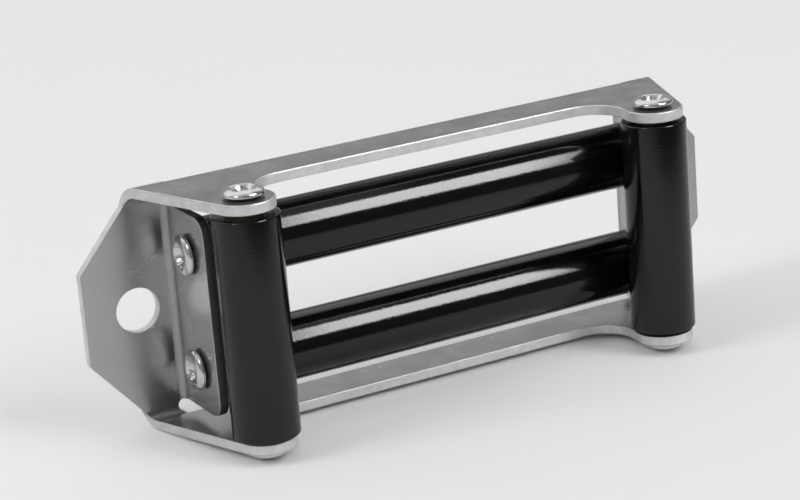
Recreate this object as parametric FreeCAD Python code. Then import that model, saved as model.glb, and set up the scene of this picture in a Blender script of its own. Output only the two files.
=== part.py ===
# Roller fairlead: a bent sheet frame that carries two upright and two lying rollers.
# The rope runs between the four rollers, along Y.
# Origin: middle of the line through the two mounting holes, on the rear (mounting) face.
# +X to the right along the frame, +Y to the rear, +Z up. All sizes are in millimetres.
import FreeCAD, Part
import math
import os

V = FreeCAD.Vector
X_AXIS = V(1, 0, 0)
Y_AXIS = V(0, 1, 0)
Z_AXIS = V(0, 0, 1)

# Sheet frame
sheet = 1.0
bend_radius = 0.8            # inside radius of every bend
vertical_spacing = 45.0      # between the axes of the upright rollers
tab_inset = 2.2              # from an upright axis out to the inner face of the tab beside it
tab_land = 0.65              # tab that shows in front of a lying roller
tab_relief = 1.3             # slot between the end of a tab and the flange
tab_corner = 1.8             # rounding of a tab's front corners
shoulder = 3.5               # from a tab's bend to the end of the flange root
ear_tip_height = 9.0
ear_tip_land = 5.4           # from a mounting hole's axis to the ear's end
ear_corner = 0.6
mounting_hole = 4.4
mounting_hole_land = 0.9     # from the tab's bend to the edge of the mounting hole
front_strip = 5.6            # depth of the flange between the lobes, from the ear's front face
rear_trim = 0.7              # how far the flange's free rear edge lies in front of the ear's front face
lobe_inset = 0.3             # how much smaller a lobe is than the roller under it, on the radius
lobe_sweep = 3.5             # radius of the curve from a lobe into the front strip

# Rollers, bushes and axles
axle_diameter = 3.0
bush_wall = 0.5
roller_wall = 1.25
roller_chamfer = 0.15
bush_length = 4.5
bush_proud = 0.1             # bush that stands out of the roller's end as a thrust face
rope_gap = 4.9               # between the lying rollers
roller_to_flange = 2.15      # from a lying roller to the flange's inner face
rear_axle_setback = 4.2      # lying axles, in front of the ear's front face
cross_gap = 0.3              # between the lying and the upright rollers, along Y
end_play = 0.5               # of a roller along its axle
upright_drop = {"left": 0.2, "right": 0.0}    # how far each upright roller has slid down its axle

# Screws
thread_diameter = 2.0
screw_length = 5.0
head_diameter = 4.0
head_height = 1.0
head_rim = 0.5               # straight side of the head, under its shoulder
head_flat = 2.7              # flat top, inside the shoulder
recess_span = 2.3
recess_slot = 0.55
recess_depth = 0.6
recess_taper = 0.55          # width and span at the floor of the recess, as a part of those at its mouth
upright_turns = {"left": (20, 32), "right": (65, 12)}    # how far each screw is turned, in degrees
lying_turns = {"lower": (38, 5), "upper": (15, 50)}

# Clearances
running_clearance = 0.04     # bush on axle, radial
thread_clearance = 0.01      # screw in its tapped hole, radial
screw_hole_clearance = 0.1   # screw in the sheet, radial

# Worked out from the sizes above
outer_bend = bend_radius + sheet
bush_diameter = axle_diameter + 2 * bush_wall
roller_diameter = bush_diameter + 2 * roller_wall
roller_radius = roller_diameter / 2
lying_height = (roller_diameter + rope_gap) / 2
inner_half_height = lying_height + roller_radius + roller_to_flange
half_height = inner_half_height + sheet
ear_front = -sheet
lying_y = ear_front - rear_axle_setback
upright_y = lying_y - roller_diameter - cross_gap
upright_x = vertical_spacing / 2
tab_inner = upright_x + tab_inset
tab_outer = tab_inner + sheet
tab_bend = tab_outer + bend_radius
tab_front = lying_y - roller_radius - tab_land
tab_half_height = inner_half_height - tab_relief
root_end = tab_bend + shoulder
hole_x = tab_bend + mounting_hole_land + mounting_hole / 2
ear_tip = hole_x + ear_tip_land
bend_line_y = ear_front - bend_radius
bend_line_z = half_height - outer_bend
strip_edge_y = ear_front - front_strip
rear_edge_y = ear_front - rear_trim
lobe_radius = roller_radius - lobe_inset
screw_hole_radius = thread_diameter / 2 + screw_hole_clearance
beyond = sheet               # how far a cutting tool reaches past what it cuts
parallel = 0.999             # cosine above which an edge counts as lying along an axis


def line(a, b):
    return Part.LineSegment(a, b).toShape()


def arc(centre, radius, start, end, u, v):
    """Arc about centre from angle start to angle end, in degrees, in the plane of u and v."""
    def at(angle):
        a = math.radians(angle)
        return centre + u * (radius * math.cos(a)) + v * (radius * math.sin(a))
    return Part.Arc(at(start), at((start + end) / 2), at(end)).toShape()


def polygon(corners):
    return [line(a, b) for a, b in zip(corners, corners[1:] + corners[:1])]


def prism(edges, direction):
    return Part.Face(Part.Wire(edges)).extrude(direction)


def block(low, high):
    size = high - low
    return Part.makeBox(size.x, size.y, size.z, low)


def mirrored(shape):
    return shape.mirror(V(0, 0, 0), X_AXIS)


def turned(shape, angle):
    copy = shape.copy()
    copy.rotate(V(0, 0, 0), Z_AXIS, angle)
    return copy


def export(name, shape):
    shape.removeSplitter().exportStep("parts/" + name + ".step")


# Frame
def channel():
    """The ear plate with both flanges bent forward, along the whole flange root."""
    front = upright_y - roller_diameter
    edges = []
    for side in (1, -1):
        bend = V(-root_end, bend_line_y, side * bend_line_z)
        up = Z_AXIS * side
        edges.append(arc(bend, outer_bend, 0, 90, Y_AXIS, up))
        edges.append(line(bend + up * outer_bend, V(-root_end, front, side * half_height)))
        edges.append(line(V(-root_end, front, side * half_height), V(-root_end, front, side * inner_half_height)))
        edges.append(line(V(-root_end, front, side * inner_half_height), bend + up * bend_radius))
        edges.append(arc(bend, bend_radius, 90, 0, Y_AXIS, up))
    edges.append(line(V(-root_end, 0, bend_line_z), V(-root_end, 0, -bend_line_z)))
    edges.append(line(V(-root_end, ear_front, bend_line_z), V(-root_end, ear_front, -bend_line_z)))
    return prism(Part.__sortEdges__(edges), X_AXIS * (2 * root_end))


def side_tangent():
    """Where the flange's side, a straight line from its root, meets the lobe's circle."""
    to_lobe = V(upright_x - root_end, upright_y - bend_line_y, 0)
    turn = math.degrees(math.asin(lobe_radius / to_lobe.Length))
    direction = FreeCAD.Rotation(Z_AXIS, turn).multVec(to_lobe)
    direction.normalize()
    reach = math.sqrt(to_lobe.Length ** 2 - lobe_radius ** 2)
    return V(root_end, bend_line_y, 0) + direction * reach


def flange_outline():
    """Prism of the flange's plan: tapered sides, round lobes and a set-back strip between them."""
    lobe = V(upright_x, upright_y, 0)
    sweep_y = strip_edge_y - lobe_sweep
    reach = lobe_radius + lobe_sweep
    sweep_x = upright_x - math.sqrt(reach ** 2 - (sweep_y - upright_y) ** 2)
    sweep = V(sweep_x, sweep_y, 0)
    side = side_tangent()
    start = math.degrees(math.atan2(side.y - lobe.y, side.x - lobe.x))
    end = math.degrees(math.atan2(sweep.y - lobe.y, sweep.x - lobe.x)) - 360
    meet = lobe + (sweep - lobe) * (lobe_radius / reach)
    sweep_start = math.degrees(math.atan2(meet.y - sweep.y, meet.x - sweep.x))
    rear = beyond
    edges = [
        line(V(0, rear, 0), V(root_end, rear, 0)),
        line(V(root_end, rear, 0), V(root_end, bend_line_y, 0)),
        line(V(root_end, bend_line_y, 0), side),
        arc(lobe, lobe_radius, start, end, X_AXIS, Y_AXIS),
        arc(sweep, lobe_sweep, sweep_start, 90, X_AXIS, Y_AXIS),
        line(V(sweep_x, strip_edge_y, 0), V(0, strip_edge_y, 0)),
        line(V(0, strip_edge_y, 0), V(0, rear, 0)),
    ]
    half = prism(edges, Z_AXIS * (2 * half_height))
    half.translate(V(0, 0, -half_height))
    return half.fuse(mirrored(half)).removeSplitter()


def ear():
    """Right ear plate with its slanted corners, from the tab's bend outwards."""
    tip = ear_tip_height / 2
    corners = [
        V(tab_bend, 0, -bend_line_z),
        V(root_end, 0, -bend_line_z),
        V(ear_tip, 0, -tip),
        V(ear_tip, 0, tip),
        V(root_end, 0, bend_line_z),
        V(tab_bend, 0, bend_line_z),
    ]
    plate = prism(polygon(corners), Y_AXIS * -sheet)
    tips = [e for e in plate.Edges if along(e, Y_AXIS) and e.CenterOfMass.x > ear_tip - ear_corner]
    return plate.makeFillet(ear_corner, tips)


def along(edge, axis):
    """True for a straight edge that runs along the axis."""
    if not isinstance(edge.Curve, Part.Line):
        return False
    return abs(edge.tangentAt(edge.FirstParameter).dot(axis)) > parallel


def window():
    """Opening between the ears, with a round-ended relief slot at each end of each tab."""
    tool = block(V(-tab_bend, rear_edge_y, -tab_half_height), V(tab_bend, beyond, tab_half_height))
    relief_radius = tab_relief / 2
    slot_x = tab_bend - relief_radius
    slot_z = tab_half_height + relief_radius
    tool = tool.fuse(block(V(-slot_x, rear_edge_y, -half_height - beyond), V(slot_x, beyond, half_height + beyond)))
    for x in (-slot_x, slot_x):
        for z in (-slot_z, slot_z):
            end = Part.makeCylinder(relief_radius, beyond - rear_edge_y, V(x, rear_edge_y, z), Y_AXIS)
            tool = tool.fuse(end)
    return tool


def tab():
    """Right tab, bent forward from the ear; it carries one end of both lying axles."""
    bend = V(tab_bend, bend_line_y, -tab_half_height)
    edges = [
        arc(bend, outer_bend, 90, 180, X_AXIS, Y_AXIS),
        line(V(tab_inner, bend_line_y, bend.z), V(tab_inner, tab_front, bend.z)),
        line(V(tab_inner, tab_front, bend.z), V(tab_outer, tab_front, bend.z)),
        line(V(tab_outer, tab_front, bend.z), V(tab_outer, bend_line_y, bend.z)),
        arc(bend, bend_radius, 180, 90, X_AXIS, Y_AXIS),
        line(V(tab_bend, ear_front, bend.z), V(tab_bend, 0, bend.z)),
    ]
    plate = prism(edges, Z_AXIS * (2 * tab_half_height))
    corners = [e for e in plate.Edges if along(e, X_AXIS) and e.CenterOfMass.y < tab_front + tab_corner]
    return plate.makeFillet(tab_corner, corners)


def frame():
    body = channel().common(flange_outline())
    body = body.fuse([ear(), mirrored(ear())])
    body = body.cut(window())
    body = body.fuse([tab(), mirrored(tab())]).removeSplitter()
    upward = 2 * (half_height + beyond)
    across = 2 * (tab_outer + beyond)
    holes = []
    for side in (-1, 1):
        mounting_axis = V(side * hole_x, beyond, 0)
        upright_axis = V(side * upright_x, upright_y, -upward / 2)
        lying_axis = V(-across / 2, lying_y, side * lying_height)
        holes.append(Part.makeCylinder(mounting_hole / 2, sheet + 2 * beyond, mounting_axis, -Y_AXIS))
        holes.append(Part.makeCylinder(screw_hole_radius, upward, upright_axis, Z_AXIS))
        holes.append(Part.makeCylinder(screw_hole_radius, across, lying_axis, X_AXIS))
    return body.cut(holes)


# Rollers, bushes and axles, each built along +Z with its middle at the origin
def tube(outer, inner, length):
    low = V(0, 0, -length / 2)
    return Part.makeCylinder(outer, length, low).cut(Part.makeCylinder(inner, length, low))


def axle(length):
    """A tube, tapped at both ends for the screws that clamp it in the frame."""
    return tube(axle_diameter / 2, thread_diameter / 2 + thread_clearance, length)


def roller(length):
    body = tube(roller_diameter / 2, bush_diameter / 2, length)
    rims = [e for e in body.Edges if isinstance(e.Curve, Part.Circle) and e.Curve.Radius > bush_diameter / 2]
    return body.makeChamfer(roller_chamfer, rims)


def bush():
    return tube(bush_diameter / 2, axle_diameter / 2 + running_clearance, bush_length)


# Screw, built along +Z with its head above the origin and its shank below
def wedge(half_width, reach):
    """Trapezoid drawn out along Y, half_width to each side at the head's top and narrower at the recess's floor."""
    low = head_height - recess_depth
    high = head_height + recess_depth
    narrow = half_width * recess_taper
    wide = half_width * (2 - recess_taper)
    corners = [V(-narrow, -reach, low), V(narrow, -reach, low), V(wide, -reach, high), V(-wide, -reach, high)]
    return prism(polygon(corners), Y_AXIS * (2 * reach))


def recess():
    """Cross recess: two slots that get shorter and narrower towards their floor."""
    slot = wedge(recess_span / 2, recess_span).common(turned(wedge(recess_slot / 2, recess_span), 90))
    return slot.fuse(turned(slot, 90))


def screw():
    shank = thread_diameter / 2
    rim = head_diameter / 2
    profile = polygon([
        V(0, 0, -screw_length),
        V(shank, 0, -screw_length),
        V(shank, 0, 0),
        V(rim, 0, 0),
        V(rim, 0, head_rim),
        V(head_flat / 2, 0, head_height),
        V(0, 0, head_height),
    ])
    solid = Part.Face(Part.Wire(profile)).revolve(V(0, 0, 0), Z_AXIS, 360)
    return solid.cut(recess())


def placed(shape, place, axis, turn=0):
    """A copy with its +Z laid along axis, turned about itself and moved to place."""
    copy = turned(shape, turn)
    copy.Placement = FreeCAD.Placement(place, FreeCAD.Rotation(Z_AXIS, axis)).multiply(copy.Placement)
    return copy


def roller_set(name, centre, axis, ends, span, drop, turns):
    """One roller with its bushes, axle and two screws; span is between the faces that hold the axle."""
    length = span - end_play - 2 * bush_proud
    middle = centre - axis * drop
    bush_middle = (length - bush_length) / 2 + bush_proud
    export(name + "_roller", placed(roller(length), middle, axis))
    export(name + "_axle", placed(axle(span), centre, axis))
    for end, side, turn in zip(ends, (-1, 1), turns):
        export(name + "_" + end + "_bush", placed(bush(), middle + axis * (side * bush_middle), axis))
        seat = centre + axis * (side * (span / 2 + sheet))
        export(name + "_" + end + "_screw", placed(screw(), seat, axis * side, turn))


def main():
    os.makedirs("parts", exist_ok=True)
    export("frame", frame())
    for name, side in (("left", -1), ("right", 1)):
        roller_set(name + "_vertical", V(side * upright_x, upright_y, 0), Z_AXIS, ("lower", "upper"),
                   2 * inner_half_height, upright_drop[name], upright_turns[name])
    for name, side in (("lower", -1), ("upper", 1)):
        roller_set(name + "_horizontal", V(0, lying_y, side * lying_height), X_AXIS, ("left", "right"),
                   2 * tab_inner, 0, lying_turns[name])


main()
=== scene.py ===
"""Looks of the four-roller rope fairlead: bent bright sheet, black rollers, domed cross-recess screws.

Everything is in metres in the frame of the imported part: +X right, +Y to the rear, +Z up.
The fronts of the flanges' lobes point to -Y, and the part stands on a floor at its lowest screws.
"""

import math

import bmesh
import bpy
from mathutils import Matrix, Vector


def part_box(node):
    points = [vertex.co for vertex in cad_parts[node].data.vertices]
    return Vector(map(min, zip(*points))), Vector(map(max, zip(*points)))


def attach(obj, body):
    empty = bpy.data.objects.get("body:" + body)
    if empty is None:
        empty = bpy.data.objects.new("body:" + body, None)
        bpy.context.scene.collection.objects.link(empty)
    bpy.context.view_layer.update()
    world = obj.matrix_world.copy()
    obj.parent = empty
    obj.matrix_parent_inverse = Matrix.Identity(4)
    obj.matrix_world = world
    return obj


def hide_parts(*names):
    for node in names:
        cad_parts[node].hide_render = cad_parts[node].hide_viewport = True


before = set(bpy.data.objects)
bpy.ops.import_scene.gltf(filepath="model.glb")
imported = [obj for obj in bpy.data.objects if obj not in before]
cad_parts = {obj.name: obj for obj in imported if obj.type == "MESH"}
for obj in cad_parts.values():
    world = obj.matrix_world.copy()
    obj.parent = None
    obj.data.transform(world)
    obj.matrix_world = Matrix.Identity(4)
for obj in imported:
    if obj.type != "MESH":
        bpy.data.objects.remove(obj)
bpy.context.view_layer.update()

MM = 0.001
UPRIGHTS = ("left_vertical", "right_vertical")
# Ends of each roller's set, where it has a screw and a bush
ENDS = {
    "left_vertical": ("lower", "upper"),
    "right_vertical": ("lower", "upper"),
    "lower_horizontal": ("left", "right"),
    "upper_horizontal": ("left", "right"),
}


# Camera, as the photograph sees the part

IMAGE_WIDTH = 800
FOCAL_PIXELS = 2551.5
SENSOR = 36.0
CLIP = (0.01, 20.0)
CAMERA_PLACE = Vector((-114.4416, -216.1027, 74.9938)) * MM
CAMERA_RIGHT = Vector((0.87075617, -0.48566243, -0.07691356))
CAMERA_UP = Vector((0.20855372, 0.22311960, 0.95222003))


def place_camera():
    data = bpy.data.cameras.new("photo_camera")
    data.sensor_width = SENSOR
    data.lens = FOCAL_PIXELS * SENSOR / IMAGE_WIDTH
    data.clip_start, data.clip_end = CLIP
    camera = bpy.data.objects.new("photo_camera", data)
    right = CAMERA_RIGHT.normalized()
    back = right.cross(CAMERA_UP).normalized()
    up = back.cross(right)
    turn = Matrix((right, up, back)).transposed().to_4x4()
    camera.matrix_world = Matrix.Translation(CAMERA_PLACE) @ turn
    bpy.context.scene.collection.objects.link(camera)
    bpy.context.scene.camera = camera


# Node helpers


class Tree:
    """A short way to write a node tree."""

    def __init__(self, tree):
        self.tree = tree
        self.tree.nodes.clear()

    def node(self, kind, inputs=None, **settings):
        made = self.tree.nodes.new(kind)
        for key, value in settings.items():
            setattr(made, key, value)
        for key, value in (inputs or {}).items():
            self.feed(made, key, value)
        return made

    def feed(self, made, key, value):
        if isinstance(value, bpy.types.NodeSocket):
            self.tree.links.new(value, made.inputs[key])
        else:
            made.inputs[key].default_value = value

    def math(self, operation, first, second=0.0):
        made = self.node("ShaderNodeMath", {0: first, 1: second}, operation=operation)
        return made.outputs[0]

    def noise(self, vector, scale, detail=3.0, roughness=0.5, distortion=0.0):
        inputs = {
            "Vector": vector,
            "Scale": scale,
            "Detail": detail,
            "Roughness": roughness,
            "Distortion": distortion,
        }
        return self.node("ShaderNodeTexNoise", inputs).outputs["Fac"]

    def stretch(self, vector, factors):
        made = self.node("ShaderNodeVectorMath", {0: vector, 1: factors}, operation="MULTIPLY")
        return made.outputs[0]

    def span(self, value, low, high, to_low, to_high):
        """The value, carried from low..high to to_low..to_high and held at the ends."""
        inputs = {"Value": value, "From Min": low, "From Max": high, "To Min": to_low, "To Max": to_high}
        return self.node("ShaderNodeMapRange", inputs).outputs["Result"]

    def occlusion(self, distance, samples):
        """How open the sky is within a distance: 1 in the open, 0 in a closed corner."""
        made = self.node("ShaderNodeAmbientOcclusion", {"Distance": distance}, samples=samples)
        return made.outputs["AO"]

    def ramp(self, value, stops):
        """A colour ramp from (position, grey or colour) stops."""
        made = self.node("ShaderNodeValToRGB", {"Fac": value})
        points = made.color_ramp.elements
        while len(points) < len(stops):
            points.new(0.5)
        for point, (position, grey) in zip(points, stops):
            point.position = position
            point.color = grey if isinstance(grey, tuple) else (grey, grey, grey, 1.0)
        return made.outputs["Color"]

    def bump(self, height, distance, strength=1.0, normal=None):
        inputs = {"Height": height, "Distance": distance, "Strength": strength}
        if normal is not None:
            inputs["Normal"] = normal
        return self.node("ShaderNodeBump", inputs).outputs["Normal"]


def new_material(name):
    material = bpy.data.materials.new(name)
    material.use_nodes = True
    tree = Tree(material.node_tree)
    place = tree.node("ShaderNodeTexCoord").outputs["Object"]
    return material, tree, place


def close_material(tree, colour, metallic, rough, more):
    inputs = {"Base Color": colour, "Metallic": metallic, "Roughness": rough, **more}
    shader = tree.node("ShaderNodeBsdfPrincipled", inputs)
    tree.node("ShaderNodeOutputMaterial", {"Surface": shader.outputs[0]})


# Materials. Noise scales are in waves per metre.

WHITE = (1.0, 1.0, 1.0, 1.0)
BLANK = (0.0, 0.0, 0.0, 1.0)
# Painted shade on the cut edges between the flanges: occlusion reach, height bound, fade and strength
CUT_SHADE_REACH = 3.0 * MM
CUT_SHADE_HEIGHT = 10.4 * MM
CUT_SHADE_FADE = 1.05
CUT_SHADE_POWER = 1.6
FLOOR_SEEN = 0.82
FLOOR_MIRRORED = 0.4
FLOOR_SHARE = 0.4
FLOOR_PLAIN = (120.0 * MM, 450.0 * MM)
FLOOR_CONTACT = 6.0 * MM
FLOOR_FADE = (80.0 * MM, 300.0 * MM)
FLOOR_FADE_MOST = 0.85
FLOOR_FRONT_RIGHT = (0.707, -0.707, 0.0)


def sheet_steel():
    """Semi-polished bright sheet: rolled grain along X, soft smears, slow waves in its reflections."""
    material, tree, place = new_material("sheet_steel")
    grain = tree.noise(tree.stretch(place, (60.0, 900.0, 900.0)), 12.0, 4.0, 0.6)
    smear = tree.noise(place, 260.0, 4.0, 0.55, 0.4)
    waves = tree.noise(place, 150.0, 1.0)
    specks = tree.noise(place, 5200.0, 2.0)
    colour = tree.ramp(smear, [(0.25, 0.47), (0.75, 0.56)])
    smeared = tree.span(smear, 0.3, 0.7, 0.19, 0.27)
    rough = tree.math("ADD", smeared, tree.span(grain, 0.3, 0.7, -0.01, 0.03))
    slow = tree.bump(waves, 0.04 * MM, 0.35)
    fine = tree.bump(grain, 0.003 * MM, 0.6, slow)
    normal = tree.bump(specks, 0.002 * MM, 0.3, fine)
    close_material(tree, colour, 0.9, rough, {"Normal": normal})
    return material


def bend_steel():
    """The same sheet where it is stretched round a bend: duller, with a faint orange peel, and a darker
    colour that is painted shade for the dimmer reflection along the bends.
    """
    material, tree, place = new_material("bend_steel")
    peel = tree.noise(place, 900.0, 3.0)
    smear = tree.noise(place, 260.0, 4.0, 0.55, 0.4)
    # Painted shade: darker than the flat sheet's colour, standing in for the bends' dimmer reflection
    colour = tree.ramp(smear, [(0.25, 0.37), (0.75, 0.45)])
    rough = tree.span(peel, 0.3, 0.7, 0.26, 0.38)
    normal = tree.bump(peel, 0.012 * MM, 0.6)
    close_material(tree, colour, 0.95, rough, {"Normal": normal})
    return material


def cut_steel():
    """Sheared edge of the sheet: lighter, duller, with fine marks across its thickness, and painted
    shade that darkens its colour where it lies close to a roller between the flanges."""
    material, tree, place = new_material("cut_steel")
    marks = tree.noise(tree.stretch(place, (1.0, 1.0, 0.2)), 3000.0, 3.0, 0.6)
    blotch = tree.noise(place, 1100.0, 3.0)
    tint = tree.ramp(blotch, [(0.25, 0.80), (0.75, 0.94)])
    # Painted shade: below the flanges' height, ambient occlusion darkens the colour where a cut edge
    # faces a roller
    height = tree.math("ABSOLUTE", tree.node("ShaderNodeSeparateXYZ", {0: place}).outputs["Z"])
    top = CUT_SHADE_FADE * CUT_SHADE_HEIGHT
    power = tree.span(height, CUT_SHADE_HEIGHT, top, CUT_SHADE_POWER, 0.0)
    unshaded_share = tree.math("POWER", tree.occlusion(CUT_SHADE_REACH, 8), power)
    shaded_tint = tree.node("ShaderNodeVectorMath", {0: tint, "Scale": unshaded_share}, operation="SCALE")
    colour = shaded_tint.outputs[0]
    rough = tree.span(marks, 0.3, 0.7, 0.52, 0.68)
    normal = tree.bump(marks, 0.02 * MM, 0.7)
    close_material(tree, colour, 1.0, rough, {"Normal": normal})
    return material


def edge_steel():
    """Rolled-over edge of the sheet: smooth enough to glint, and slightly nicked along its length."""
    material, tree, place = new_material("edge_steel")
    nicks = tree.noise(place, 2600.0, 3.0, 0.65)
    tint = tree.noise(place, 800.0, 2.0)
    colour = tree.ramp(tint, [(0.3, 0.62), (0.7, 0.74)])
    rough = tree.span(nicks, 0.3, 0.7, 0.38, 0.6)
    normal = tree.bump(nicks, 0.05 * MM, 1.0)
    close_material(tree, colour, 1.0, rough, {"Normal": normal})
    return material


def black_anodised():
    """Glossy black over turned metal: near-black body, grainy edge to each highlight, faint rings."""
    material, tree, place = new_material("black_anodised")
    grain = tree.noise(place, 5200.0, 3.0, 0.6)
    wear = tree.noise(place, 420.0, 4.0, 0.6)
    rings = tree.noise(tree.stretch(place, (0.02, 0.02, 1.0)), 6500.0, 2.0)
    fresh, worn = (0.0025, 0.0025, 0.0027, 1.0), (0.005, 0.005, 0.0052, 1.0)
    colour = tree.ramp(wear, [(0.3, fresh), (0.8, worn)])
    grained = tree.span(grain, 0.3, 0.7, 0.07, 0.13)
    rough = tree.math("ADD", grained, tree.span(wear, 0.3, 0.7, -0.01, 0.01))
    turned = tree.bump(rings, 0.002 * MM, 0.6)
    normal = tree.bump(grain, 0.009 * MM, 0.8, turned)
    close_material(tree, colour, 0.0, rough, {"IOR": 1.49, "Normal": normal})
    return material


def screw_steel():
    """Bright plated screws with a slightly pitted skin."""
    material, tree, place = new_material("screw_steel")
    pits = tree.noise(place, 3200.0, 3.0, 0.6)
    tint = tree.noise(place, 700.0, 2.0)
    colour = tree.ramp(tint, [(0.3, 0.66), (0.7, 0.78)])
    rough = tree.span(pits, 0.3, 0.7, 0.16, 0.26)
    normal = tree.bump(pits, 0.004 * MM, 0.4)
    close_material(tree, colour, 1.0, rough, {"Normal": normal})
    return material


def painted_shade_seat():
    """Near-black matt neck and underside of a screw's head: painted shade for the gap under the head."""
    material, tree, place = new_material("painted_shade_seat")
    seat_mottle = tree.noise(place, 2400.0, 3.0)
    colour = tree.ramp(seat_mottle, [(0.3, 0.012), (0.7, 0.03)])
    rough = tree.span(seat_mottle, 0.3, 0.7, 0.45, 0.7)
    close_material(tree, colour, 0.0, rough, {})
    return material


def axle_steel():
    """Ground steel tube with fine marks."""
    material, tree, place = new_material("axle_steel")
    marks = tree.noise(place, 4200.0, 2.0)
    tint = tree.noise(place, 600.0, 3.0)
    colour = tree.ramp(tint, [(0.3, 0.42), (0.7, 0.52)])
    rough = tree.span(marks, 0.3, 0.7, 0.24, 0.36)
    normal = tree.bump(marks, 0.005 * MM, 0.5)
    close_material(tree, colour, 1.0, rough, {"Normal": normal})
    return material


def bush_bronze():
    """Sintered bronze: warm, dull, full of small pores."""
    material, tree, place = new_material("bush_bronze")
    pores = tree.noise(place, 6500.0, 4.0, 0.7)
    tint = tree.noise(place, 900.0, 3.0)
    colour = tree.ramp(tint, [(0.3, (0.20, 0.14, 0.08, 1.0)), (0.7, (0.30, 0.22, 0.13, 1.0))])
    rough = tree.span(pores, 0.3, 0.7, 0.38, 0.55)
    normal = tree.bump(pores, 0.01 * MM, 0.6)
    close_material(tree, colour, 1.0, rough, {"Normal": normal})
    return material


def paper_floor():
    """Matt pale card. Seen or mirrored, part of it glows evenly instead of taking the lamps' light:
    less where the part stands close over it, more far away. Mirrored, it is dimmer, and it falls off
    towards the dark front right of the room."""
    material, tree, place = new_material("paper_floor")
    mottle = tree.noise(place, 40.0, 3.0)
    fibre = tree.noise(place, 2200.0, 3.0)
    colour = tree.ramp(mottle, [(0.2, 0.835), (0.8, 0.85)])
    normal = tree.bump(fibre, 0.02 * MM, 0.3)
    card = tree.node("ShaderNodeBsdfDiffuse", {"Color": colour, "Normal": normal})
    rays = tree.node("ShaderNodeLightPath")
    mirrored = rays.outputs["Is Glossy Ray"]
    seen = tree.math("MAXIMUM", rays.outputs["Is Camera Ray"], mirrored)
    strength = tree.span(mirrored, 0.0, 1.0, FLOOR_SEEN, FLOOR_MIRRORED)
    glow = tree.node("ShaderNodeEmission", {"Color": WHITE, "Strength": strength})
    open_sky = tree.occlusion(FLOOR_CONTACT, 16)
    reach = tree.node("ShaderNodeVectorMath", {0: place}, operation="LENGTH").outputs["Value"]
    plain = tree.span(reach, FLOOR_PLAIN[0], FLOOR_PLAIN[1], FLOOR_SHARE, 1.0)
    share = tree.math("MULTIPLY", tree.math("MULTIPLY", seen, open_sky), plain)
    mixed = tree.node("ShaderNodeMixShader", {0: share, 1: card.outputs[0], 2: glow.outputs[0]})
    away = tree.node("ShaderNodeVectorMath", {0: place, 1: FLOOR_FRONT_RIGHT}, operation="DOT_PRODUCT")
    dim = tree.span(away.outputs["Value"], FLOOR_FADE[0], FLOOR_FADE[1], 0.0, FLOOR_FADE_MOST)
    dusk = tree.node("ShaderNodeEmission", {"Color": BLANK, "Strength": 1.0})
    lost = tree.math("MULTIPLY", mirrored, dim)
    faded = tree.node("ShaderNodeMixShader", {0: lost, 1: mixed.outputs[0], 2: dusk.outputs[0]})
    tree.node("ShaderNodeOutputMaterial", {"Surface": faded.outputs[0]})
    return material


STEEL = sheet_steel()
BEND = bend_steel()
CUT = cut_steel()
EDGE = edge_steel()
BLACK = black_anodised()
SCREW = screw_steel()
NECK_SHADE = painted_shade_seat()
# Painted shade for the neck and underside of each screw's head
AXLE = axle_steel()
BRONZE = bush_bronze()


# Mesh helpers

ON_AXIS = 1e-9


def new_piece(name, mesh, materials):
    piece = bpy.data.objects.new(name, mesh)
    bpy.context.scene.collection.objects.link(piece)
    for material in materials:
        mesh.materials.append(material)
    return piece


def lathe(profile, around, closed):
    """A surface turned about Z from (radius, height) points; a closed one joins its ends."""
    shape = bmesh.new()
    rings = []
    for radius, height in profile:
        if radius < ON_AXIS:
            rings.append([shape.verts.new((0.0, 0.0, height))] * around)
            continue
        turns = [2.0 * math.pi * k / around for k in range(around)]
        places = [(radius * math.cos(a), radius * math.sin(a), height) for a in turns]
        rings.append([shape.verts.new(place) for place in places])
    above = rings[1:] + rings[:1] if closed else rings[1:]
    for lower, upper in zip(rings, above):
        for k in range(around):
            corners = [lower[k], lower[(k + 1) % around], upper[(k + 1) % around], upper[k]]
            face = list(dict.fromkeys(corners))
            if len(face) > 2:
                shape.faces.new(face)
    bmesh.ops.recalc_face_normals(shape, faces=shape.faces)
    return shape


def to_mesh(shape, name, sharp_degrees):
    mesh = bpy.data.meshes.new(name)
    shape.to_mesh(mesh)
    shape.free()
    mesh.shade_smooth()
    mesh.set_sharp_from_angle(angle=math.radians(sharp_degrees))
    return mesh


# Frame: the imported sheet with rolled-over edges. Its roundings are in metres here, and the sheet's own
# sizes and the places that they are compared with in millimetres.

OUTER_ROUND = 0.13 * MM
INNER_ROUND = 0.05 * MM
ROUND_STEPS = 3
MITRE_LEAST = 0.4
WELD = (0.001 * MM, 0.035 * MM)
SAME_PLANE = math.radians(0.6)
ON_SKIN = 0.12
SHEET_HALF_HEIGHT = 12.1
SHEET = 1.0
BEND_INSIDE = 0.8
BEND_LINE_Y = -1.8
BEND_LINE_Z = 10.3
BEND_END_X = 30.0
BEND_TAPER = 0.8
TAB_OUTSIDE_X = 25.7
TAB_BEND_X = 26.5
TAB_HALF_HEIGHT = 9.8
BEND_END_SLACK = 0.05
FLANGE_SLACK = 1.2
SMOOTH_WALL = math.cos(math.radians(35.0))
# Sizes of a normal's component: facing that way, not facing it, and square on to it
FACING = 0.9
NOT_FACING = 0.3
SQUARE_ON = 0.99


def skin_by_depth(depth):
    """Outer or inner skin from the distance to the inner one, or 'cut' when it is neither."""
    if abs(depth) < ON_SKIN * SHEET:
        return "inner"
    if abs(depth - SHEET) < ON_SKIN * SHEET:
        return "outer"
    return "cut"


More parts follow.
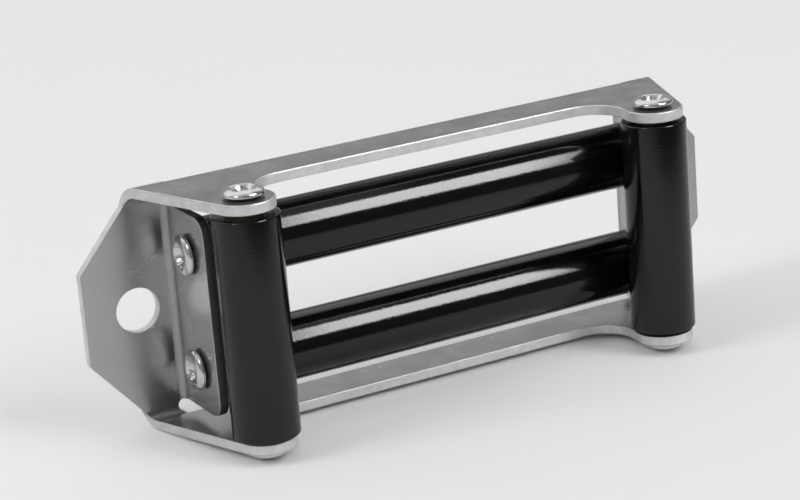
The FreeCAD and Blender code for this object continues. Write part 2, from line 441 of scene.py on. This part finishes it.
def sheet_side(face):
    """Which skin of the bent sheet a face is on ('outer', 'inner' or 'cut'), and which bend it is in."""
    normal = face.normal
    place = face.calc_center_median() / MM
    x, y, z = abs(place.x), place.y, abs(place.z)
    if y > BEND_LINE_Y and z > BEND_LINE_Z and abs(normal.x) < NOT_FACING:
        radius = math.hypot(y - BEND_LINE_Y, z - BEND_LINE_Z)
        return skin_by_depth(radius - BEND_INSIDE), "flange"
    in_tab_bend = y > BEND_LINE_Y and TAB_OUTSIDE_X - SHEET < x < TAB_BEND_X
    if in_tab_bend and abs(normal.z) < NOT_FACING and abs(normal.y) < SQUARE_ON:
        radius = math.hypot(x - TAB_BEND_X, y - BEND_LINE_Y)
        return skin_by_depth(radius - BEND_INSIDE), "tab"
    if abs(normal.y) > FACING:
        return skin_by_depth(y + SHEET), "flat"
    if abs(normal.z) > FACING and z > SHEET_HALF_HEIGHT - FLANGE_SLACK * SHEET:
        return skin_by_depth(z - SHEET_HALF_HEIGHT + SHEET), "flat"
    if abs(normal.x) > FACING and y < BEND_LINE_Y and z < TAB_HALF_HEIGHT:
        return skin_by_depth(TAB_OUTSIDE_X - x), "flat"
    return "cut", "flat"


def taper_bend_ends(shape):
    """Draws the ends of the flange bends inwards, so that each ear's slanted edge runs on up to them."""
    for vertex in shape.verts:
        x, y, z = vertex.co / MM
        if abs(x) > BEND_END_X - BEND_END_SLACK and abs(z) > BEND_LINE_Z:
            turn = math.atan2(abs(z) - BEND_LINE_Z, max(y - BEND_LINE_Y, 0.0))
            end = BEND_END_X - BEND_TAPER * turn / (0.5 * math.pi)
            vertex.co.x = math.copysign(end * MM, x)


def skin_normal(face, kind, vertex):
    """Normal of a skin at a vertex: round the bend on a bend, the face's own on a flat."""
    side, bend = kind
    place = vertex.co / MM
    if side == "cut" or bend == "flat":
        return face.normal.copy()
    if bend == "flange":
        line_z = math.copysign(BEND_LINE_Z, place.z)
        around = Vector((0.0, place.y - BEND_LINE_Y, place.z - line_z))
    else:
        line_x = math.copysign(TAB_BEND_X, place.x)
        around = Vector((place.x - line_x, place.y - BEND_LINE_Y, 0.0))
    around.normalize()
    return around if side == "outer" else -around


def wall_normal(face, vertex, kinds):
    """Normal of the cut wall at a vertex, smooth along curves and square at corners; a large face
    counts for more than the small ones beside it."""
    total = Vector((0.0, 0.0, 0.0))
    for other in vertex.link_faces:
        if kinds[other][0] == "cut" and other.normal.dot(face.normal) > SMOOTH_WALL:
            total += other.normal * other.calc_area() ** 2
    return total.normalized() if total.length > 0.0 else face.normal.copy()


class Rim:
    """Edges where a skin meets the cut wall, and the rounding at each of their vertices."""

    def __init__(self, shape, kinds):
        self.kinds = kinds
        self.edges = []
        met = {}
        for edge in shape.edges:
            skins = [face for face in edge.link_faces if kinds[face][0] != "cut"]
            walls = [face for face in edge.link_faces if kinds[face][0] == "cut"]
            if len(skins) == 1 and len(walls) == 1:
                self.edges.append((edge, skins[0], walls[0]))
                for vertex in edge.verts:
                    met.setdefault(vertex, []).append(self.edges[-1])
        pairs = {vertex: rims for vertex, rims in met.items() if len(rims) == 2}
        self.corners = {vertex: self.corner(vertex, rims) for vertex, rims in pairs.items()}

    def corner(self, vertex, rims):
        """Skin normal, step into the skin, and radius of the rounding at a rim vertex."""
        normal = Vector((0.0, 0.0, 0.0))
        inward = []
        for edge, skin, wall in rims:
            own = skin_normal(skin, self.kinds[skin], vertex)
            normal += own
            step = own.cross(edge.verts[1].co - edge.verts[0].co).normalized()
            inward.append(-step if step.dot(wall.normal) > 0.0 else step)
        mitre = max(MITRE_LEAST, 1.0 + inward[0].dot(inward[1]))
        side = self.kinds[rims[0][1]][0]
        radius = OUTER_ROUND if side == "outer" else INNER_ROUND
        return normal.normalized(), (inward[0] + inward[1]) / mitre, radius


# Places of the frame's materials on its mesh
SKIN_SLOT, CUT_SLOT, EDGE_SLOT, BEND_SLOT = range(4)


def rolled_mesh(shape, kinds):
    """The sheet's mesh with a quarter round along every rim, its normals set corner by corner."""
    rim = Rim(shape, kinds)
    points, faces, normals, materials = [], [], [], []
    turns = [0.5 * math.pi * k / ROUND_STEPS for k in range(ROUND_STEPS + 1)]
    rounds = {}
    for vertex in shape.verts:
        if vertex not in rim.corners:
            rounds[vertex] = [len(points)] * len(turns)
            points.append(vertex.co.copy())
            continue
        normal, inward, radius = rim.corners[vertex]
        centre = vertex.co + (inward - normal) * radius
        rounds[vertex] = list(range(len(points), len(points) + len(turns)))
        points += [centre + (normal * math.cos(t) - inward * math.sin(t)) * radius for t in turns]

    def add(corners, material):
        seen = {}
        for index, normal in corners:
            seen.setdefault(index, normal)
        if len(seen) > 2:
            faces.append(list(seen))
            normals.extend(seen.values())
            materials.append(material)

    for face in shape.faces:
        side, bend = kinds[face]
        corners = []
        for vertex in face.verts:
            if side == "cut":
                corners.append((rounds[vertex][-1], wall_normal(face, vertex, kinds)))
            else:
                corners.append((rounds[vertex][0], skin_normal(face, kinds[face], vertex)))
        skin_slot = SKIN_SLOT if bend == "flat" else BEND_SLOT
        add(corners, CUT_SLOT if side == "cut" else skin_slot)
    for edge, skin, wall in rim.edges:
        loop = next(l for l in skin.loops if l.edge == edge)
        first, second = loop.vert, loop.link_loop_next.vert
        flat = [skin_normal(skin, kinds[skin], vertex) for vertex in (first, second)]
        upright = [wall_normal(wall, vertex, kinds) for vertex in (first, second)]
        for k in range(ROUND_STEPS):
            corners = []
            for end, step in ((1, k), (0, k), (0, k + 1), (1, k + 1)):
                normal = flat[end] * math.cos(turns[step]) + upright[end] * math.sin(turns[step])
                corners.append((rounds[(first, second)[end]][step], normal.normalized()))
            add(corners, EDGE_SLOT)
    mesh = bpy.data.meshes.new("frame_sheet")
    mesh.from_pydata(points, [], faces)
    mesh.shade_smooth()
    mesh.polygons.foreach_set("material_index", materials)
    mesh.normals_split_custom_set(normals)
    mesh.update()
    return mesh


def frame_piece():
    shape = bmesh.new()
    shape.from_mesh(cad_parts["frame"].data)
    for distance in WELD:
        bmesh.ops.remove_doubles(shape, verts=shape.verts, dist=distance)
    taper_bend_ends(shape)
    bmesh.ops.dissolve_limit(shape, angle_limit=SAME_PLANE, verts=shape.verts, edges=shape.edges)
    shape.normal_update()
    mesh = rolled_mesh(shape, {face: sheet_side(face) for face in shape.faces})
    shape.free()
    piece = new_piece("frame_sheet", mesh, [STEEL, CUT, EDGE, BEND])
    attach(piece, "base")
    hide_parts("frame")


# Rollers

ROLLER_EDGE = 0.15 * MM
ROLLER_EDGE_STEPS = 5
ROLLER_FACETS = 96
ROLLER_SHARP = 35.0


def rounded_corner(x, z, radius, start):
    """Points of a quarter round about (x, z) from the start angle, in degrees."""
    steps = range(ROLLER_EDGE_STEPS + 1)
    turns = [math.radians(start + 90.0 * k / ROLLER_EDGE_STEPS) for k in steps]
    return [(x + radius * math.cos(a), z + radius * math.sin(a)) for a in turns]


def along(set_name, centre):
    """Places a piece turned about Z on a roller's line."""
    lying = Matrix.Rotation(math.radians(90.0), 4, "Y")
    turn = Matrix.Identity(4) if set_name in UPRIGHTS else lying
    return Matrix.Translation(centre) @ turn


def axis_index(set_name):
    return 2 if set_name in UPRIGHTS else 0


def roller_piece(set_name):
    node = set_name + "_roller"
    low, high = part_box(node)
    bush_low, bush_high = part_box(f"{set_name}_{ENDS[set_name][0]}_bush")
    axis = axis_index(set_name)
    half = (high[axis] - low[axis]) * 0.5
    outer = (high.y - low.y) * 0.5
    bore = (bush_high.y - bush_low.y) * 0.5
    r = ROLLER_EDGE
    profile = [(bore, -half), (outer - r, -half)]
    profile += rounded_corner(outer - r, -half + r, r, -90.0)[1:]
    profile += rounded_corner(outer - r, half - r, r, 0.0)
    profile += [(bore, half)]
    mesh = to_mesh(lathe(profile, ROLLER_FACETS, True), node + "_skin", ROLLER_SHARP)
    piece = new_piece(node + "_skin", mesh, [BLACK])
    piece.matrix_world = along(set_name, (low + high) * 0.5)
    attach(piece, set_name)
    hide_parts(node)


# Screws: thin low-domed heads on a narrower neck painted near-black as shade, with a pressed cross
# recess and a threaded shank

HEAD_AROUND = 72
HEAD_HEIGHT = 1.0 * MM
HEAD_SHARP = 50.0
HEAD_SLACK = 0.002 * MM
# Shares of the head's height or, for the neck, of its radius
HEAD_UNDER = 0.3
HEAD_RIM = 0.5
HEAD_NECK = 0.74
NECK_FLARE = (1.03, 0.88)
RIM_BEVEL = (0.975, 0.04)
DOME_STEPS = 34
DOME_POWERS = (3.5, 0.6)
RECESS_HALF_SLOT = 0.3 * MM
RECESS_REACH = 1.4 * MM
RECESS_DEPTH = 0.65 * MM
RECESS_CORE = (0.6 * MM, 1.25 * MM)
# Shares of the slot's half width and reach between which an arm slopes, and of the depth that it has
ARM_SIDES = (0.7, 1.3)
ARM_END = 0.6
ARM_DEPTH = 0.55
# The part of the head that the cross is pressed into: above this share of its height, within this reach
PRESSED_ABOVE = 0.65
PRESSED_WITHIN = 1.2 * RECESS_REACH
SHANK_RADIUS = 1.0 * MM
SHANK_POINT = 0.7
SHANK_LEAD = 0.3 * MM
SHANK_PLAIN = 0.5 * MM
SHANK_SEAT = 0.05 * MM
THREAD_PITCH = 0.4 * MM
THREAD_ROOT = 0.86
THREAD_CREST = 0.99
# The second slot holds the painted shade of the neck and underside
METAL_SLOT, NECK_SHADE_SLOT = range(2)
# How far each cross recess is turned, in degrees
SCREW_TURNS = {
    "left_vertical_lower_screw": 20.0,
    "left_vertical_upper_screw": 32.0,
    "right_vertical_lower_screw": 65.0,
    "right_vertical_upper_screw": 12.0,
    "lower_horizontal_left_screw": 38.0,
    "lower_horizontal_right_screw": 5.0,
    "upper_horizontal_left_screw": 15.0,
    "upper_horizontal_right_screw": 50.0,
}


def smooth(value, low, high):
    """0 below low, 1 above high, and a smooth step between them."""
    t = min(1.0, max(0.0, (value - low) / (high - low)))
    return t * t * (3.0 - 2.0 * t)


def recess(x, y):
    """How far the pressed cross sinks at a point of the head."""
    arms = 0.0
    for u, v in ((abs(x), abs(y)), (abs(y), abs(x))):
        slot = 1.0 - smooth(v, RECESS_HALF_SLOT * ARM_SIDES[0], RECESS_HALF_SLOT * ARM_SIDES[1])
        run = 1.0 - smooth(u, RECESS_REACH * ARM_END, RECESS_REACH)
        arms = max(arms, slot * run)
    core = 1.0 - smooth(math.hypot(x, y), *RECESS_CORE)
    return RECESS_DEPTH * max(ARM_DEPTH * arms, core)


def head_profile(radius, height):
    """Neck, underside, thin side and low dome of the head, from the bearing face to the top."""
    under, rim, neck = HEAD_UNDER * height, HEAD_RIM * height, HEAD_NECK * radius
    points = [(neck, 0.0), (neck, NECK_FLARE[1] * under), (neck * NECK_FLARE[0], under)]
    points += [(radius * RIM_BEVEL[0], under), (radius, under + RIM_BEVEL[1] * height), (radius, rim)]
    for k in range(1, DOME_STEPS + 1):
        share = math.cos(0.5 * math.pi * k / DOME_STEPS)
        rise = (1.0 - share ** DOME_POWERS[0]) ** DOME_POWERS[1]
        points.append((radius * share, rim + (height - rim) * rise))
    points[-1] = (0.0, height)
    return points


def shank_profile(reach):
    """Point, thread rings and plain top of the shank, from its tip to the bearing face."""
    points = [(0.0, -reach), (SHANK_RADIUS * SHANK_POINT, -reach), (SHANK_RADIUS, -reach + SHANK_LEAD)]
    for k in range(int((reach - SHANK_PLAIN) / THREAD_PITCH)):
        z = -reach + SHANK_LEAD + k * THREAD_PITCH
        points.append((SHANK_RADIUS * THREAD_ROOT, z + 0.5 * THREAD_PITCH))
        points.append((SHANK_RADIUS * THREAD_CREST, z + THREAD_PITCH))
    return points + [(SHANK_RADIUS, -SHANK_SEAT), (SHANK_RADIUS, 0.0)]


def screw_mesh(radius, height, reach):
    """A screw along +Z with its bearing face at z = 0; its neck and underside are painted near-black as
    shade.
    """
    profile = shank_profile(reach) + head_profile(radius, height)
    shape = lathe(profile, HEAD_AROUND, False)
    for face in shape.faces:
        # Faces of the neck and underside take the painted shade
        middle = face.calc_center_median()
        in_neck_shade = 0.0 < middle.z < 1.01 * HEAD_UNDER * height
        face.material_index = NECK_SHADE_SLOT if in_neck_shade else METAL_SLOT
    for vertex in shape.verts:
        x, y, z = vertex.co
        if z > PRESSED_ABOVE * height and math.hypot(x, y) < PRESSED_WITHIN:
            vertex.co.z -= recess(x, y)
    shape.normal_update()
    mesh = to_mesh(shape, "screw", HEAD_SHARP)
    mesh.materials.append(SCREW)
    mesh.materials.append(NECK_SHADE)
    return mesh


def screw_piece(node, set_name, end, mesh):
    low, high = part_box(node)
    axis = axis_index(set_name)
    side = -1.0 if end in ("lower", "left") else 1.0
    seat = (low + high) * 0.5
    seat[axis] = high[axis] - HEAD_HEIGHT if side > 0.0 else low[axis] + HEAD_HEIGHT
    outward = Vector((0.0, 0.0, 0.0))
    outward[axis] = side
    turn = Vector((0.0, 0.0, 1.0)).rotation_difference(outward).to_matrix().to_4x4()
    spin = Matrix.Rotation(math.radians(SCREW_TURNS[node]), 4, "Z")
    piece = new_piece(node + "_skin", mesh, [])
    piece.matrix_world = Matrix.Translation(seat) @ turn @ spin
    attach(piece, "base")
    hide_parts(node)


def all_screws():
    low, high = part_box("left_vertical_upper_screw")
    radius = (high.x - low.x) * 0.5 - HEAD_SLACK
    reach = (high.z - low.z) - HEAD_HEIGHT
    mesh = screw_mesh(radius, HEAD_HEIGHT, reach)
    for set_name, ends in ENDS.items():
        for end in ends:
            screw_piece(f"{set_name}_{end}_screw", set_name, end, mesh)


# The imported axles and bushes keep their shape


def dress(node, material):
    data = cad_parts[node].data
    data.materials.clear()
    data.materials.append(material)


def dress_small_parts():
    for set_name, ends in ENDS.items():
        dress(set_name + "_axle", AXLE)
        for end in ends:
            dress(f"{set_name}_{end}_bush", BRONZE)


# Floor and light. The floor rises to the rear, because the part in the photograph leans back on it.

FLOOR_SLOPE = 0.098
FLOOR_FRONT_Y = -12.0 * MM
FLOOR_FRONT_Z = -13.12 * MM
FLOOR_HALF = 1.5
LAMP_DISTANCE = 0.9
# Each lamp reaches from one direction to another (azimuth from the front towards +X, elevation) and is
# so many degrees wide. The keys draw the highlights; the fills light the floor and cast its shadows.
KEY_RIGHT = ((29.0, 29.0), (51.0, 56.0), 20.0)
KEY_LEFT = ((-70.0, 35.0), (-70.0, 49.0), 14.0)
FILL_LEFT = ((-90.0, 27.0), (-90.0, 48.0), 20.0)
OVERHEAD = ((180.0, 65.0), (0.0, 65.0), 50.0)
LAMPS = {
    "key_right": (KEY_RIGHT, 13.5, ["gloss"]),
    "key_left": (KEY_LEFT, 8.0, ["gloss"]),
    "fill_right": (KEY_RIGHT, 8.3, ["matt"]),
    "fill_left": (FILL_LEFT, 10.0, ["matt"]),
    "overhead": (OVERHEAD, 0.45, ["gloss", "matt"]),
}
# The room's even glow, and its glow along an axis: from, to, and the strength at each end
ROOM_GLOW = 0.08
ROOM_BACK = (0.1, 0.5, 0.0, 0.85)
ROOM_RISING = (0.32, 0.5, 0.19, 1.0)
ROOM_LEFT = (-0.7, 0.1, 0.18, 0.0)


def lay_floor():
    shape = bmesh.new()
    corners = []
    for x, y in ((-1, -1), (1, -1), (1, 1), (-1, 1)):
        height = FLOOR_FRONT_Z + FLOOR_SLOPE * (y * FLOOR_HALF - FLOOR_FRONT_Y)
        corners.append(shape.verts.new((x * FLOOR_HALF, y * FLOOR_HALF, height)))
    shape.faces.new(corners)
    mesh = bpy.data.meshes.new("floor")
    shape.to_mesh(mesh)
    shape.free()
    floor = new_piece("floor", mesh, [paper_floor()])


def toward(azimuth, elevation):
    """Direction from the part, azimuth in degrees from the front towards +X."""
    a, e = math.radians(azimuth), math.radians(elevation)
    return Vector((math.sin(a) * math.cos(e), -math.cos(a) * math.cos(e), math.sin(e)))


def softbox(name, patch, radiance, lights):
    """A rectangular lamp over a patch of the sky, which lights glossy or matt surfaces or both."""
    start, end, wide = patch
    first, last = toward(*start), toward(*end)
    middle = (first + last).normalized()
    rise = (last - first).normalized()
    side = rise.cross(middle)
    data = bpy.data.lights.new(name, "AREA")
    data.shape = "RECTANGLE"
    data.size = 2.0 * LAMP_DISTANCE * math.tan(math.radians(wide) * 0.5)
    data.size_y = 2.0 * LAMP_DISTANCE * math.tan(first.angle(last) * 0.5)
    data.energy = radiance * math.pi * data.size * data.size_y
    lamp = bpy.data.objects.new(name, data)
    turn = Matrix((side, rise, middle)).transposed().to_4x4()
    lamp.matrix_world = Matrix.Translation(middle * LAMP_DISTANCE) @ turn
    lamp.visible_glossy = "gloss" in lights
    lamp.visible_diffuse = "matt" in lights
    bpy.context.scene.collection.objects.link(lamp)


def room_light():
    """A dim room, darkest in front, lighter high up at the back and a little at the left."""
    world = bpy.data.worlds.new("room")
    bpy.context.scene.world = world
    world.use_nodes = True
    tree = Tree(world.node_tree)
    direction = tree.node("ShaderNodeTexCoord").outputs["Generated"]
    parts = tree.node("ShaderNodeSeparateXYZ", {0: direction})
    back = tree.span(parts.outputs["Y"], *ROOM_BACK)
    rising = tree.span(parts.outputs["Z"], *ROOM_RISING)
    left = tree.span(parts.outputs["X"], *ROOM_LEFT)
    glow = tree.math("ADD", tree.math("MULTIPLY", back, rising), left)
    strength = tree.math("ADD", glow, ROOM_GLOW)
    background = tree.node("ShaderNodeBackground", {"Color": WHITE, "Strength": strength})
    tree.node("ShaderNodeOutputWorld", {"Surface": background.outputs[0]})


place_camera()
frame_piece()
for roller_set in ENDS:
    roller_piece(roller_set)
all_screws()
dress_small_parts()
lay_floor()
for lamp_name, lamp_settings in LAMPS.items():
    softbox(lamp_name, *lamp_settings)
room_light()
bpy.context.scene.view_settings.view_transform = "Standard"
